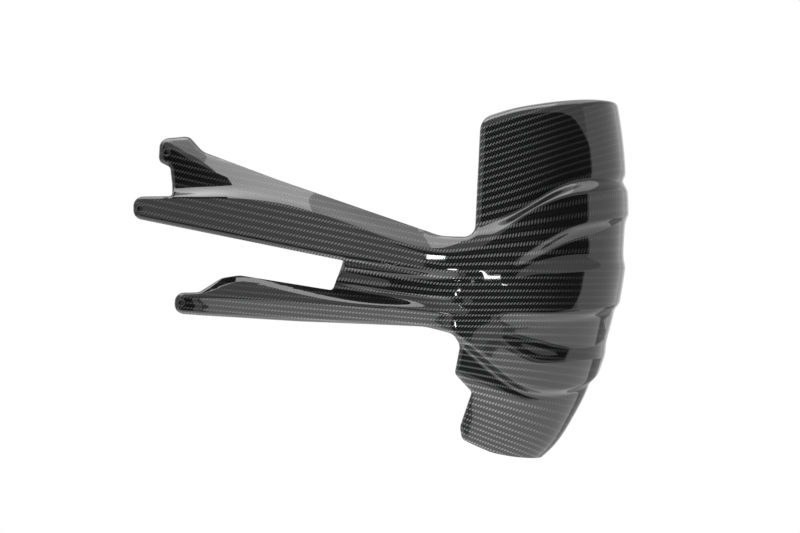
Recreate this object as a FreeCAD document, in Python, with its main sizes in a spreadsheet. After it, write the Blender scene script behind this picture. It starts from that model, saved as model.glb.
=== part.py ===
import FreeCAD, Part
import math
import os
from FreeCAD import Vector

# Splash guard for a rear wheel: one moulded laminate, trimmed to its outline and drilled.
# Frame: origin in the front bolt hole, X to the rear, Z up, the outer face towards -Y.

doc = FreeCAD.newDocument("splash_guard_document")

# Driving dimensions, in millimetres
SIZES = [
    ("laminate", 2.0, "wall of the laminate"),
    ("tread_radius", 347.5, "radius of the tread wall about the wheel axle"),
    ("axle_x", 22.5, "wheel axle behind the front bolt hole"),
    ("axle_z", -2.6, "wheel axle above the front bolt hole"),
    ("shell_width", 190.0, "width of the shell across the tyre"),
    ("shell_height", 280.0, "height of the shell from its rim to its bottom edge"),
    ("corner_radius", 42.0, "rounding between side wall and tread wall"),
    ("crown", 4.0, "bulge of the tread wall at the tyre's middle"),
    ("far_lip", 8.0, "depth of the lip on the far side"),
    ("palm_length", 145.0, "tread wall to the fold where the arms begin"),
    ("rise", 9.0, "height of palm and fingers over the side wall"),
    ("tread_rise", 4.0, "height of the fingers over the tread wall"),
    ("valley", 0.3, "share of the rise that is left in the valleys"),
    ("rim_roll", 3.0, "how far the top rim rolls in"),
    ("rim_swell", 7.0, "how far the top rim stands out over the tread wall"),
    ("bottom_draw", 6.0, "how far the bottom edge is drawn in from the tread wall"),
    ("tuck", 20.0, "how far the side wall is tucked in at its bottom edge"),
    ("step_drop", 3.0, "drop of the lowest panel"),
    ("flange_depth", 14.0, "depth of the upper arm's top flange at its root"),
    ("lug_flange_depth", 27.0, "depth of the upper arm's top flange at the lug"),
    ("pad_depth", 14.0, "set-back of the upper lug's pad"),
    ("web_depth", 14.0, "set-back of the web between the arms"),
    ("lower_depth", 3.0, "set-back of the lower arm"),
    ("lower_tilt", 4.0, "tilt of the lower arm's face over its height"),
    ("upper_lug_x", 18.0, "upper lug's bolt hole, along"),
    ("upper_lug_z", 43.1, "upper lug's bolt hole, up"),
    ("lower_lug_x", 30.5, "lower lug's bolt hole, along"),
    ("lower_lug_z", -70.5, "lower lug's bolt hole, up"),
    ("bolt_hole", 6.2, "bolt hole's diameter"),
    ("front_lug_radius", 8.0, "end radius of the front lug"),
    ("upper_lug_radius", 8.0, "end radius of the upper lug"),
    ("lower_lug_radius", 7.8, "end radius of the lower lug"),
]

sheet = doc.addObject("Spreadsheet::Sheet", "sizes")
for number, (alias, value, meaning) in enumerate(SIZES, start=1):
    sheet.set("A%d" % number, meaning)
    sheet.set("B%d" % number, str(value))
    sheet.setAlias("B%d" % number, alias)
doc.recompute()


def size(alias):
    return float(sheet.get(alias))


laminate = size("laminate")
radius = size("tread_radius")
axle_x = size("axle_x")
axle_z = size("axle_z")
corner = size("corner_radius")
rise = size("rise")
flange = size("flange_depth")
lug_flange = size("lug_flange_depth")
pad = size("pad_depth")
web = size("web_depth")
lower = size("lower_depth")
tilt = size("lower_tilt")
valley = size("valley")
upper_x = size("upper_lug_x")
upper_z = size("upper_lug_z")
lower_x = size("lower_lug_x")
lower_z = size("lower_lug_z")
drop = size("step_drop")
roll = size("rim_roll")
front_face = -0.5 * laminate
wall_face = front_face + rise
tread_x = axle_x + radius
fold_x = tread_x - size("palm_length")
swell = size("rim_swell")
draw = size("bottom_draw")

# Heights and small lengths are drawn for a shell 280 high, and grow with it
grow = size("shell_height") / 280
stretch = size("palm_length") / 145


def smooth(points):
    """A line through the points that does not overshoot them, as a function of x."""
    xs = [point[0] for point in points]
    values = [point[1] for point in points]
    slopes = []
    for i in range(len(xs) - 1):
        slopes.append((values[i + 1] - values[i]) / (xs[i + 1] - xs[i]))
    tangents = [slopes[0]]
    for before, after in zip(slopes, slopes[1:]):
        tangents.append(2 * before * after / (before + after) if before * after > 0 else 0.0)
    tangents.append(slopes[-1])

    def at(x):
        if x <= xs[0]:
            return values[0] + tangents[0] * (x - xs[0])
        if x >= xs[-1]:
            return values[-1] + tangents[-1] * (x - xs[-1])
        i = max(k for k in range(len(xs) - 1) if xs[k] <= x)
        span = xs[i + 1] - xs[i]
        t = (x - xs[i]) / span
        start = (1 + 2 * t) * (1 - t) ** 2 * values[i] + t * (1 - t) ** 2 * span * tangents[i]
        end = t * t * (3 - 2 * t) * values[i + 1] + t * t * (t - 1) * span * tangents[i + 1]
        return start + end

    return at


def line_along(arm, shell, unit):
    """A line along the part: shares of the arm's length, then distances before the tread."""
    points = []
    for share, value, *base in arm:
        points.append((share * fold_x, sum(base) + value * unit))
    for distance, value in shell:
        points.append((tread_x - distance * stretch, value * unit))
    return smooth(points)


def height_line(arm, shell):
    """Heights in the side view; a third value is the lug that a height is measured from."""
    return line_along(arm, shell, grow)


def level_line(arm, shell):
    """Lifts over the side wall."""
    return line_along(arm, shell, 1.0)


def mixed(first, second, share):
    return lambda x: (1 - share) * first(x) + share * second(x)


def shifted(line, amount):
    return lambda x: line(x) + amount


# Heights of the character lines in the side view
flange_back = height_line(
    [(-0.07, 25, upper_z), (0.06, 20, upper_z), (0.11, 15, upper_z), (0.14, 13.5, upper_z),
     (0.17, 9, upper_z), (0.2, 2.3, upper_z), (0.97, -15.8), (1.0, -16.5)],
    [(130.5, -15.5), (118.5, -9.5), (107.5, -7.3), (96.5, -4.3), (77.5, 4.8), (66.5, 13),
     (54.5, 19), (40.5, 24.2), (24.5, 26.5), (6.5, 26.5)])
pad_top = height_line(
    [(-0.07, 12.8, upper_z), (0.06, 10.5, upper_z), (0.08, 9, upper_z), (0.11, 3, upper_z),
     (0.13, -7.5, upper_z), (0.17, -14, upper_z), (0.22, -20, upper_z), (0.26, 20), (0.37, 21.4),
     (0.53, 10.5), (0.87, -16.5), (1.0, -22.5)],
    [(130.5, -19), (118.5, -13.1), (107.5, -10.9), (96.5, -7.9), (77.5, 1.1), (66.5, 9.4),
     (54.5, 15.4), (40.5, 20.6), (24.5, 22.9), (6.5, 22.9)])
crest_1 = height_line(
    [(-0.07, 9.4), (0.33, 8.6), (0.4, 7.1), (0.5, 3), (0.87, -25.9), (0.93, -30.8), (1.0, -32.6)],
    [(122.5, -30.8), (109.5, -25.9), (100.5, -17.6), (84.5, -6), (70.5, 3.4), (54.5, 9.4), (40.5, 12.8),
     (21.5, 14.2), (2.5, 14.6)])
pad_foot = height_line(
    [(-0.07, 15.4), (0.25, 15.8), (0.37, 14.6), (0.53, 5.6), (0.7, -7.5), (0.87, -21.4), (1.0, -27.5)],
    [(122.5, -22.5), (107.5, -16.5), (96.5, -11.2), (77.5, -0.2), (66.5, 7.2), (54.5, 12.4),
     (40.5, 16.7), (21.5, 18.4), (2.5, 18.6)])
crest_2 = height_line(
    [(-0.07, -5.2), (0.68, -38.6), (0.87, -45.8), (1.0, -48.5)],
    [(114.5, -47.6), (100.5, -43.9), (84.5, -37.1), (66.5, -26.2), (54.5, -19.1), (40.5, -13.1),
     (24.5, -9.8), (4.5, -4.9)])
foot_2 = height_line(
    [(-0.07, -8.6), (0.68, -41.6), (0.87, -48.8), (1.0, -51.5)],
    [(114.5, -50.8), (100.5, -48), (84.5, -41.9), (66.5, -31.2), (54.5, -24), (40.5, -17.6),
     (24.5, -13.9), (4.5, -9.4)])
foot_3 = height_line(
    [(-0.07, -34), (0.68, -49.5), (1.0, -60)],
    [(114.5, -59.5), (96.5, -54.4), (77.5, -42.4), (54.5, -39), (24.5, -36.8), (4.5, -36)])
crest_3 = height_line(
    [(-0.07, -38), (0.68, -52), (1.0, -63)],
    [(114.5, -62.5), (96.5, -58.1), (77.5, -47.6), (54.5, -46.9), (24.5, -45), (4.5, -43.1)])
crest_4 = height_line(
    [(0.03, 9.4, lower_z), (0.14, 8.3, lower_z), (0.2, 10.1, lower_z), (0.24, 15.4, lower_z),
     (0.27, -50.6), (0.31, -48.8), (0.35, -49.5), (0.5, -54.8), (0.62, -59.6), (0.87, -67.1), (1.0, -70.4)],
    [(114.5, -75.4), (92.5, -79.1), (62.5, -80.6), (40.5, -79.9), (24.5, -76.9), (16.5, -74.2),
     (8.5, -71.6)])
foot_4 = height_line(
    [(0.03, 7.6, lower_z), (0.17, 6.9, lower_z), (0.3, -57.6), (0.43, -60), (0.7, -67.4), (1.0, -73.5)],
    [(114.5, -78.4), (92.5, -82.9), (77.5, -84.6), (62.5, -85.5), (40.5, -84.8), (24.5, -81.8),
     (10.5, -76.9)])
lower_crest = height_line(
    [(0.03, 5.6, lower_z), (0.17, 5.3, lower_z), (0.3, -66), (0.43, -67.5), (0.57, -70.1), (0.7, -72.4),
     (1.0, -76.5)],
    [(114.5, -81.5), (92.5, -86), (77.5, -87.8), (62.5, -88.6), (40.5, -88), (24.5, -85), (10.5, -80.5)])
crest_6 = height_line(
    [(0.03, -5, lower_z), (0.15, -7.5, lower_z), (0.2, -8.6, lower_z), (0.37, -81.4), (0.53, -83.6),
     (0.87, -85.9), (0.95, -87.4), (1.0, -89.6)],
    [(133.5, -94.9), (122.5, -102.4), (107.5, -114.8), (92.5, -127.9), (77.5, -135.4), (62.5, -138),
     (47.5, -136.9), (32.5, -132), (20.5, -124.1)])
foot_6 = height_line(
    [(0.03, -8, lower_z), (0.15, -10.5, lower_z), (0.2, -11.6, lower_z), (0.37, -84.6), (0.87, -89.1),
     (1.0, -93)],
    [(133.5, -98.8), (114.5, -114.8), (92.5, -132.6), (77.5, -140.7), (62.5, -143.6), (47.5, -142.5),
     (32.5, -137.2), (23.5, -131.6)])
foot_5 = height_line(
    [(0.03, 2, lower_z), (0.2, 1, lower_z), (0.5, -73.5), (1.0, -81)],
    [(114.5, -88), (92.5, -96.6), (78.5, -101.6), (66.5, -106.1), (54.5, -107.6), (40.5, -107.2),
     (24.5, -105.8), (13.5, -103.1)])
crest_5 = height_line(
    [(0.03, 0, lower_z), (0.2, -1.5, lower_z), (0.5, -76), (1.0, -83.5)],
    [(114.5, -92), (92.5, -101.6), (78.5, -107.6), (66.5, -112.5), (54.5, -114.4), (40.5, -114),
     (24.5, -112.1), (16.5, -109.1)])
rim = height_line(
    [(0.0, 60, upper_z), (1.0, 62)],
    [(116.5, 67.1), (107.5, 70.5), (84.5, 76.9), (62.5, 80.2), (40.5, 83), (21.5, 85), (8.5, 85.5)])
step = height_line(
    [(0.05, -118), (1.0, -119)],
    [(137.5, -121.9), (122.5, -133.9), (114.5, -137.2), (100.5, -142.5), (84.5, -146.6), (66.5, -150.4),
     (47.5, -151.9), (30.5, -146.6)])
step_foot = height_line(
    [(0.05, -124), (1.0, -125)],
    [(137.5, -127.9), (122.5, -139.1), (114.5, -142.1), (100.5, -146.6), (84.5, -150.4), (66.5, -154.5),
     (47.5, -156.4), (32.5, -152.6)])
bottom = height_line(
    [(0.05, -160), (1.0, -164)],
    [(125.5, -176), (114.5, -181.5), (100.5, -187.5), (84.5, -191), (70.5, -192), (43.5, -190.5)])

# Levels over the side wall, along the part
top_flange = smooth(
    [(-0.1, lug_flange), (0.2, lug_flange), (0.37, 0.5 * (lug_flange + flange)), (0.55, flange),
     (0.86, flange), (1.0, 0.85 * flange)])
flange_level = level_line(
    [(t, rise - top_flange(t)) for t in (-0.07, 0.1, 0.25, 0.37, 0.53, 0.86, 1.0)],
    [(128.5, 0), (62.5, 0), (2.5, 0)])


def pad_level(share, shell_level):
    arm = [(t, rise - pad) for t in (-0.07, 0.1, 0.2)]
    arm += [(t, rise - share * top_flange(t)) for t in (0.37, 0.53, 0.86, 1.0)]
    return level_line(arm, [(128.5, shell_level), (62.5, shell_level), (2.5, shell_level)])


def valley_level(depth):
    arm = [(-0.07, rise - web - depth), (0.68, rise - web - depth), (0.8, rise - 0.8 * web),
           (0.9, rise - 0.5 * web), (1.0, rise - 0.2 * web)]
    shell = [(130.5, 0.95 * rise), (116.5, rise), (86.5, rise), (66.5, valley * rise),
             (2.5, valley * rise)]
    return level_line(arm, shell)


def lower_level(share, shell_share):
    face = rise - lower - tilt * share
    arm = [(0.03, rise - lower), (0.18, rise - lower), (0.24, face), (0.8, face),
           (1.0, 0.5 * (face + rise))]
    ridge = shell_share * rise
    return level_line(arm, [(128.5, rise), (102.5, rise), (72.5, ridge), (2.5, ridge)])


def level(value):
    return lambda x: value


lower_face = rise - lower
lower_edge = lower_face - tilt - 3.5 * laminate
lower_back_level = level_line(
    [(0.03, lower_face - laminate), (0.17, lower_face - laminate), (0.26, rise - web - laminate),
     (0.68, rise - web - laminate), (0.85, rise - 0.75 * web), (1.0, rise - 0.3 * web)],
    [(128.5, rise), (62.5, rise), (2.5, rise)])
lower_top_level = level_line(
    [(0.03, lower_face - 0.5 * laminate), (0.17, lower_face - 0.5 * laminate), (0.26, rise - 0.6 * web),
     (0.68, rise - 0.6 * web), (1.0, rise - 0.25 * web)],
    [(128.5, rise), (97.5, rise), (74.5, valley * rise), (2.5, valley * rise)])
lower_foot_level = level_line(
    [(0.03, lower_face - 2 * laminate), (0.2, lower_face - 2.5 * laminate), (0.26, lower_edge),
     (0.85, lower_edge), (1.0, 0)],
    [(128.5, 0), (62.5, 0), (2.5, 0)])
panel_level = level_line(
    [(0.03, 0.5 * drop), (1.0, 0.5 * drop)],
    [(128.5, 0.5 * drop), (92.5, 0.5 * drop), (57.5, 0), (2.5, 0)])
step_level = level_line(
    [(0.03, -drop), (1.0, -drop)],
    [(128.5, -drop), (97.5, -drop), (62.5, 0), (2.5, 0)])
web_level = level_line(
    [(-0.07, rise - web), (0.68, rise - web), (0.8, rise - 0.8 * web), (1.0, rise - 0.2 * web)],
    [(130.5, 0.95 * rise), (116.5, rise), (2.5, rise)])

# Rows of the skin from the top rim down to the bottom edge: height, level, draw-in from the tread
wall_top = shifted(rim, -6 * grow)
ROWS = [
    (shifted(rim, 0.8 * grow), level(-1.6 * roll), -swell),
    (shifted(rim, -1.6 * grow), level(-0.35 * roll), -swell),
    (wall_top, level(0), -0.85 * swell),
    (mixed(wall_top, flange_back, 0.55), level(0), -0.6 * swell),
    (flange_back, flange_level, -0.35 * swell),
    (pad_top, pad_level(0.64, 0), 0),
    (pad_foot, pad_level(0.33, 0.6 * rise), 0),
    (crest_1, level(rise), 0),
    (mixed(crest_1, crest_2, 0.5), level(rise), 0),
    (crest_2, level(rise), 0),
    (foot_2, valley_level(0), 0),
    (foot_3, valley_level(0.5 * laminate), 0),
    (crest_3, web_level, 0),
    (crest_4, lower_back_level, 0),
    (foot_4, lower_top_level, 0),
    (lower_crest, lower_level(0.0, valley), 0),
    (foot_5, lower_level(0.4, valley), 0),
    (crest_5, lower_level(0.6, 0.85), 0),
    (crest_6, lower_level(1.0, 0.85), 0),
    (foot_6, lower_foot_level, 0),
    (step, panel_level, 0),
    (step_foot, step_level, 0.06 * draw),
    (mixed(step_foot, bottom, 0.5), step_level, 0.17 * draw),
    (mixed(step_foot, bottom, 0.8), step_level, 0.45 * draw),
    (bottom, step_level, draw),
]

# Columns: shares of the arm, shares of the side wall, then the section round the tyre
ARM_SHARES = (-0.07, 0.04, 0.11, 0.17, 0.25, 0.42, 0.75)
SIDE_SHARES = (0.0, 0.22, 0.44, 0.66, 1.0)
CORNER_ANGLES = (45, 90)
tuck_top = -80 * grow
tuck_slope = size("tuck") / (101 * grow)


def at_radius(line, distance):
    """Where a row's line crosses the circle of that radius about the axle."""
    x = axle_x + distance
    for _ in range(12):
        height = line(x) - axle_z
        x = axle_x + math.sqrt(max(distance ** 2 - height ** 2, 1.0))
    return x


def tuck_at(x, z):
    """How far the lower side wall is tucked in towards the wheel."""
    below = max(tuck_top - z, 0.0)
    reach = min(max((x - fold_x) / (60 * stretch), 0.0), 1.0)
    return tuck_slope * below * below / (below + 12 * grow) * reach * reach * (3 - 2 * reach)


def section_pole(angle, base, y, tilt_angle, lift):
    """A pole on the section round the tyre, lifted off the wall along its normal."""
    reach = base + lift * math.sin(tilt_angle)
    depth = y - lift * math.cos(tilt_angle)
    return Vector(axle_x + reach * math.cos(angle), depth, axle_z + reach * math.sin(angle))


def row_poles(line, lift, draw_in):
    poles = []
    for share in ARM_SHARES:
        x = share * fold_x
        poles.append(Vector(x, wall_face - lift(x), line(x)))
    corner_x = at_radius(line, radius - corner)
    for share in SIDE_SHARES:
        x = fold_x + share * (corner_x - fold_x)
        poles.append(Vector(x, wall_face - lift(x) + tuck_at(x, line(x)), line(x)))
    ratio = size("tread_rise") / rise
    for degrees in CORNER_ANGLES:
        turn = math.radians(degrees)
        reach = radius - corner + (corner - draw_in) * math.sin(turn)
        x = at_radius(line, reach)
        angle = math.atan2(line(x) - axle_z, x - axle_x)
        height = lift(x)
        if height > 0:
            height *= 1 + (ratio - 1) * math.sin(turn)
        y = wall_face + corner * (1 - math.cos(turn)) + tuck_at(x, line(x)) * math.cos(turn)
        poles.append(section_pole(angle, reach, y, turn, height))
    y = wall_face + 0.5 * size("shell_width")
    poles.append(section_pole(angle, radius + size("crown") - draw_in, y, turn, height))
    for degrees in reversed((0,) + CORNER_ANGLES):
        turn = math.radians(degrees)
        reach = radius - corner + (corner - draw_in) * math.sin(turn)
        y = wall_face + size("shell_width") - corner * (1 - math.cos(turn))
        fade = math.sin(turn) ** 2 if height > 0 else math.sin(turn)
        poles.append(section_pole(angle, reach, y, math.pi - turn, height * fade))
    y = wall_face + size("shell_width")
    poles.append(section_pole(angle, radius - corner - size("far_lip"), y, math.pi, 0))
    return poles


outer_poles = [row_poles(*row) for row in ROWS]


def inner_pole(i, j):
    """The outer pole moved inwards by the laminate along the skin's normal."""
    last_row = len(outer_poles) - 1
    last_column = len(outer_poles[0]) - 1
    down = outer_poles[min(i + 1, last_row)][j] - outer_poles[max(i - 1, 0)][j]
    rear = outer_poles[i][min(j + 1, last_column)] - outer_poles[i][max(j - 1, 0)]
    normal = down.cross(rear)
    normal.normalize()
    return outer_poles[i][j] - normal * laminate


column_count = len(outer_poles[0])
inner_poles = [[inner_pole(i, j) for j in range(column_count)] for i in range(len(outer_poles))]


def strip_between(first, second):
    """The ruled face between two neighbouring lines of poles."""
    count = len(first)
    mults = [4] + [1] * (count - 4) + [4]
    strip = Part.BSplineSurface()
    knots = list(range(count - 2))
    strip.buildFromPolesMultsKnots(
        [first, second], [2, 2], mults, [0, 1], knots, False, False, 1, 3)
    return strip.toShape()


def end_face(a, b, c, d):
    """A small four-sided face that closes the end of a strip."""
    patch = Part.BSplineSurface()
    patch.buildFromPolesMultsKnots(
        [[a, b], [d, c]], [2, 2], [2, 2], [0, 1], [0, 1], False, False, 1, 1)
    return patch.toShape()


# The layup: outer and inner skin, and the edges that close them
faces = [strip_between(outer_poles[0], inner_poles[0]), strip_between(outer_poles[-1], inner_poles[-1])]
for i in range(len(ROWS) - 1):
    faces.append(strip_between(outer_poles[i], outer_poles[i + 1]))
    faces.append(strip_between(inner_poles[i], inner_poles[i + 1]))
    for j in (0, -1):
        faces.append(end_face(
            outer_poles[i][j], outer_poles[i + 1][j], inner_poles[i + 1][j], inner_poles[i][j]))
layup_shell = Part.makeShell(faces)
layup_shell.sewShape()
layup_solid = Part.Solid(layup_shell)
if layup_solid.Volume < 0:
    layup_solid.reverse()
layup = doc.addObject("Part::Feature", "layup")
layup.Shape = layup_solid

# Outline of the trimmed part in the side view
front_end = size("front_lug_radius")
upper_end = size("upper_lug_radius")
lower_end = size("lower_lug_radius")


def arm_x(share):
    return share * fold_x


def shell_x(distance):
    return tread_x - distance * stretch


# Each corner: where it is measured from in x and z, its offsets, and its rounding
OUTLINE = [
    (0, -5.4, 0, -7.1, front_end / grow - 0.4),
    (0, -5.4, 0, 9.2, front_end / grow - 0.4),
    (0, 23.2, 0, 9.6, 2),
    (0, 22.2, 0, 19.0, 8),
    (upper_x, 2.4, upper_z, -11.2, 4),
    (upper_x, -6.3, upper_z, -6.7, 5),
    (upper_x, -5.8, upper_z, 10.6, upper_end / grow - 0.4),
    (upper_x, 15.0, upper_z, 13.6, 7),
    (upper_x, 26.0, upper_z, 1.4, 15),
    (arm_x(0.46), 0, 0, 22.0, 300),
    (arm_x(1.003), 0, 0, -20.3, 30),
    (shell_x(118.5), 0, 0, -21.2, 9),
    (shell_x(116.8), 0, 0, 14.0, 60),
    (shell_x(114), 0, 0, 68.9, 14),
    (shell_x(85), 0, 0, 79.5, 40),
    (shell_x(-70), 0, 0, 118.0, 0),
    (shell_x(-70), 0, 0, -235.0, 0),
    (shell_x(96.5), 0, 0, -191.5, 40),
    (shell_x(128), 0, 0, -175.0, 7),
    (shell_x(129.5), 0, 0, -165.4, 9),
    (shell_x(120.5), 0, 0, -138.8, 3),
    (shell_x(133.7), 0, 0, -124.5, 5),
    (shell_x(129.5), 0, 0, -102.8, 9),
    (shell_x(135.3), 0, 0, -94.2, 9),
    (arm_x(0.95), 0, 0, -89.0, 40),
    (arm_x(0.53), 0, 0, -85.2, 200),
    (arm_x(0.2), 0, lower_z, -10.0, 60),
    (lower_x, -5.6, lower_z, -8.3, lower_end / grow - 0.4),
    (lower_x, -4.9, lower_z, 7.3, lower_end / grow - 0.8),
    (lower_x, 12.8, lower_z, 7.6, 9),
    (lower_x, 29.2, lower_z, 18.2, 9),
    (lower_x, 43.0, lower_z, 20.4, 18),
    (arm_x(0.605), 0, 0, -60.2, 30),
    (arm_x(0.64), 0, 0, -61.4, 3),
    (arm_x(0.676), 0, 0, -39.1, 1),
]


def rounded_outline(corners, roundings):
    """A closed wire of straight lines with an arc in each rounded corner."""
    stretches = []
    count = len(corners)
    for i in range(count):
        here = corners[i]
        rounding = roundings[i]
        before = corners[i - 1] - here
        after = corners[(i + 1) % count] - here
        half = 0.5 * before.getAngle(after)
        cut = min(rounding / math.tan(half), 0.48 * before.Length, 0.48 * after.Length)
        before.normalize()
        after.normalize()
        if cut < 0.01:
            stretches.append((here, here, here))
            continue
        middle = before + after
        middle.normalize()
        radius_here = cut * math.tan(half)
        centre_distance = cut / math.cos(half)
        through = here + middle * (centre_distance - radius_here)
        stretches.append((here + before * cut, through, here + after * cut))
    edges = []
    for i in range(count):
        start, through, end = stretches[i]
        if start.distanceToPoint(end) > 0.001:
            edges.append(Part.Arc(start, through, end).toShape())
        following = stretches[(i + 1) % count][0]
        if end.distanceToPoint(following) > 0.001:
            edges.append(Part.makeLine(end, following))
    return Part.Wire(edges)


outline = doc.addObject("Part::Feature", "outline")
outline.Shape = Part.Face(rounded_outline(
    [Vector(x + dx * grow, 0, z + dz * grow) for x, dx, z, dz, rounding in OUTLINE],
    [rounding * grow for x, dx, z, dz, rounding in OUTLINE]))
trim = doc.addObject("Part::Extrusion", "trim")
trim.Base = outline
trim.DirMode = "Custom"
trim.Dir = Vector(0, 1, 0)
trim.Solid = True
trim.setExpression("LengthFwd", "sizes.shell_width * 1.5")
trim.setExpression("LengthRev", "sizes.shell_width / 3")
trimmed = doc.addObject("Part::Common", "trimmed")
trimmed.Base = layup
trimmed.Tool = trim

# Bolt holes, drilled along Y
HOLES = [
    ("front_hole", None, None),
    ("upper_hole", "sizes.upper_lug_x", "sizes.upper_lug_z"),
    ("lower_hole", "sizes.lower_lug_x", "sizes.lower_lug_z"),
]
drills = []
for name, hole_x, hole_z in HOLES:
    drill = doc.addObject("Part::Cylinder", name)
    drill.setExpression("Height", "sizes.shell_width / 2")
    drill.setExpression("Radius", "sizes.bolt_hole / 2")
    drill.Placement = FreeCAD.Placement(Vector(), FreeCAD.Rotation(Vector(1, 0, 0), 90))
    drill.setExpression(".Placement.Base.y", "sizes.shell_width / 4")
    if hole_x:
        drill.setExpression(".Placement.Base.x", hole_x)
        drill.setExpression(".Placement.Base.z", hole_z)
    drills.append(drill)
bolt_holes = doc.addObject("Part::MultiFuse", "bolt_holes")
bolt_holes.Shapes = drills
guard = doc.addObject("Part::Cut", "splash_guard")
guard.Base = trimmed
guard.Tool = bolt_holes
guard.Label = "splash_guard"
doc.recompute()

for item in doc.Objects:
    if "Invalid" in item.State or "Error" in item.State:
        raise RuntimeError("%s did not build: %s" % (item.Label, item.State))
if guard.Shape.isNull() or not guard.Shape.isValid() or len(guard.Shape.Solids) != 1:
    raise RuntimeError("the guard is not one valid solid")

os.makedirs("parts", exist_ok=True)
guard.Shape.exportStep("parts/splash_guard.step")
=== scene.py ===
import math

import bpy
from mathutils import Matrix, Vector
from mathutils.bvhtree import BVHTree


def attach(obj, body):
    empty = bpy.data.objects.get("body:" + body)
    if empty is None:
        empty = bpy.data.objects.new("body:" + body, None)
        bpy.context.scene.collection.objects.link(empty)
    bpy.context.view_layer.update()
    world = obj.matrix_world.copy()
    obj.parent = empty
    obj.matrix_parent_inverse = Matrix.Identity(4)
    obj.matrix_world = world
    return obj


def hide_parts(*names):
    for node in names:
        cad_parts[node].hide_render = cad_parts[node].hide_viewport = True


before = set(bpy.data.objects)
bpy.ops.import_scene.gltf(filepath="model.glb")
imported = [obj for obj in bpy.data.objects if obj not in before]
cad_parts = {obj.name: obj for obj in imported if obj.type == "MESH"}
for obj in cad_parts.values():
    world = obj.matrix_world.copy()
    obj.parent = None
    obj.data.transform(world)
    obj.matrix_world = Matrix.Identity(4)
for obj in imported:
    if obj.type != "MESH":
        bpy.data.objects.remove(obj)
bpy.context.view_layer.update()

bl_info = {
    "name": "Splash Guard",
    "version": (1, 0, 0),
    "blender": (4, 5, 0),
    "location": "View3D > Sidebar > Guard",
    "description": "Woven carbon skin of a wheel splash guard, trimmed, drilled and clear coated",
    "category": "Object",
}

# Millimetres to metres
MM = 0.001


class GuardSizes(bpy.types.PropertyGroup):
    """Sizes of the moulded guard."""

    laminate: bpy.props.FloatProperty(
        name="Laminate", description="Wall of the laminate",
        default=2.0 * MM, unit="LENGTH")
    tread_radius: bpy.props.FloatProperty(
        name="Tread radius", description="Tread wall about the wheel axle",
        default=347.5 * MM, unit="LENGTH")
    shell_width: bpy.props.FloatProperty(
        name="Shell width", description="Width of the shell across the tyre",
        default=189.9 * MM, unit="LENGTH")
    corner_radius: bpy.props.FloatProperty(
        name="Corner radius", description="Rounding from side wall to tread wall",
        default=42.0 * MM, unit="LENGTH")
    rise: bpy.props.FloatProperty(
        name="Rise", description="Height of palm and fingers over the side wall",
        default=9.0 * MM, unit="LENGTH")
    tread_rise: bpy.props.FloatProperty(
        name="Tread rise", description="Height of the fingers over the tread wall",
        default=4.0 * MM, unit="LENGTH")
    valley: bpy.props.FloatProperty(
        name="Valley", description="Share of the rise that is left in the valleys",
        default=0.3, subtype="FACTOR")
    bolt_hole: bpy.props.FloatProperty(
        name="Bolt hole", description="Diameter of the bolt holes",
        default=6.2 * MM, unit="LENGTH")
    edge_roll: bpy.props.FloatProperty(
        name="Edge roll", description="Radius of the rolled edges",
        default=3.2 * MM, unit="LENGTH")
    fineness: bpy.props.IntProperty(
        name="Fineness", description="Subdivision of the skin's cage",
        default=2, min=1, max=3)


class GuardFinish(bpy.types.PropertyGroup):
    """Colours of the weave with the painted glint of its tows, the resin and the inserts, and the scale of
    the weave.
    """

    tow: bpy.props.FloatProperty(
        name="Tow", description="Width of one tow of the weave",
        default=1.73 * MM, unit="LENGTH")
    # Painted glint: colour of the tow crowns, standing in for the fibres' reflection of the lamps
    painted_tow_glint: bpy.props.FloatVectorProperty(
        name="Painted tow glint", description="Tows that catch the light",
        default=(0.3, 0.305, 0.31), subtype="COLOR")
    # The carbon's own near-black, under the painted glint
    dark_tow: bpy.props.FloatVectorProperty(
        name="Dark tow", description="Tows that lie away from the light",
        default=(0.003, 0.003, 0.0033), subtype="COLOR")
    resin: bpy.props.FloatVectorProperty(
        name="Resin", description="Dull resin of the inside and the cut edges",
        default=(0.018, 0.018, 0.02), subtype="COLOR")
    light_metal: bpy.props.FloatVectorProperty(
        name="Light metal", description="Worn metal of the inserts",
        default=(0.1, 0.1, 0.105), subtype="COLOR")
    dark_metal: bpy.props.FloatVectorProperty(
        name="Dark metal", description="Blackened metal of the inserts",
        default=(0.03, 0.03, 0.032), subtype="COLOR")


class StageLook(bpy.types.PropertyGroup):
    """Camera distance, floor and cards."""

    camera_distance: bpy.props.FloatProperty(
        name="Camera distance", description="Camera to the front plate",
        default=1.3, unit="LENGTH")
    view_width: bpy.props.FloatProperty(
        name="View width", description="Width seen at the front plate",
        default=0.6, unit="LENGTH")
    pale: bpy.props.FloatVectorProperty(
        name="Pale", description="Colour of the floor",
        default=(0.8, 0.8, 0.8), subtype="COLOR")
    dark: bpy.props.FloatVectorProperty(
        name="Dark", description="Colour of the cards",
        default=(0.01, 0.01, 0.01), subtype="COLOR")


# Lines of the guard in the side view, in millimetres from the front bolt hole

# Wheel axle, then the upper and the lower bolt hole
AXLE_X = 22.5
AXLE_Z = -2.6
UPPER_X = 18.0
UPPER_Z = 43.1
LOWER_X = 30.5
LOWER_Z = -70.5
# Fold where the arms end and the side wall begins, and the furthest reach of the tread
FOLD_X = 225.0
TREAD_X = 370.0
# Inward tuck of the lower side wall: its slope, its top, and the height and length it takes to come in
TUCK = 0.198
TUCK_TOP = -80.0
TUCK_HEIGHT = 12.0
TUCK_LENGTH = 60.0
# Depth of the upper flange along the arm and at the lug, and how deep the rows past its edge run on
FLANGE = 14.0
LUG_FLANGE = 27.0
NEAR_FLANGE = 1.14
PAST_FLANGE = 1.25
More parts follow.
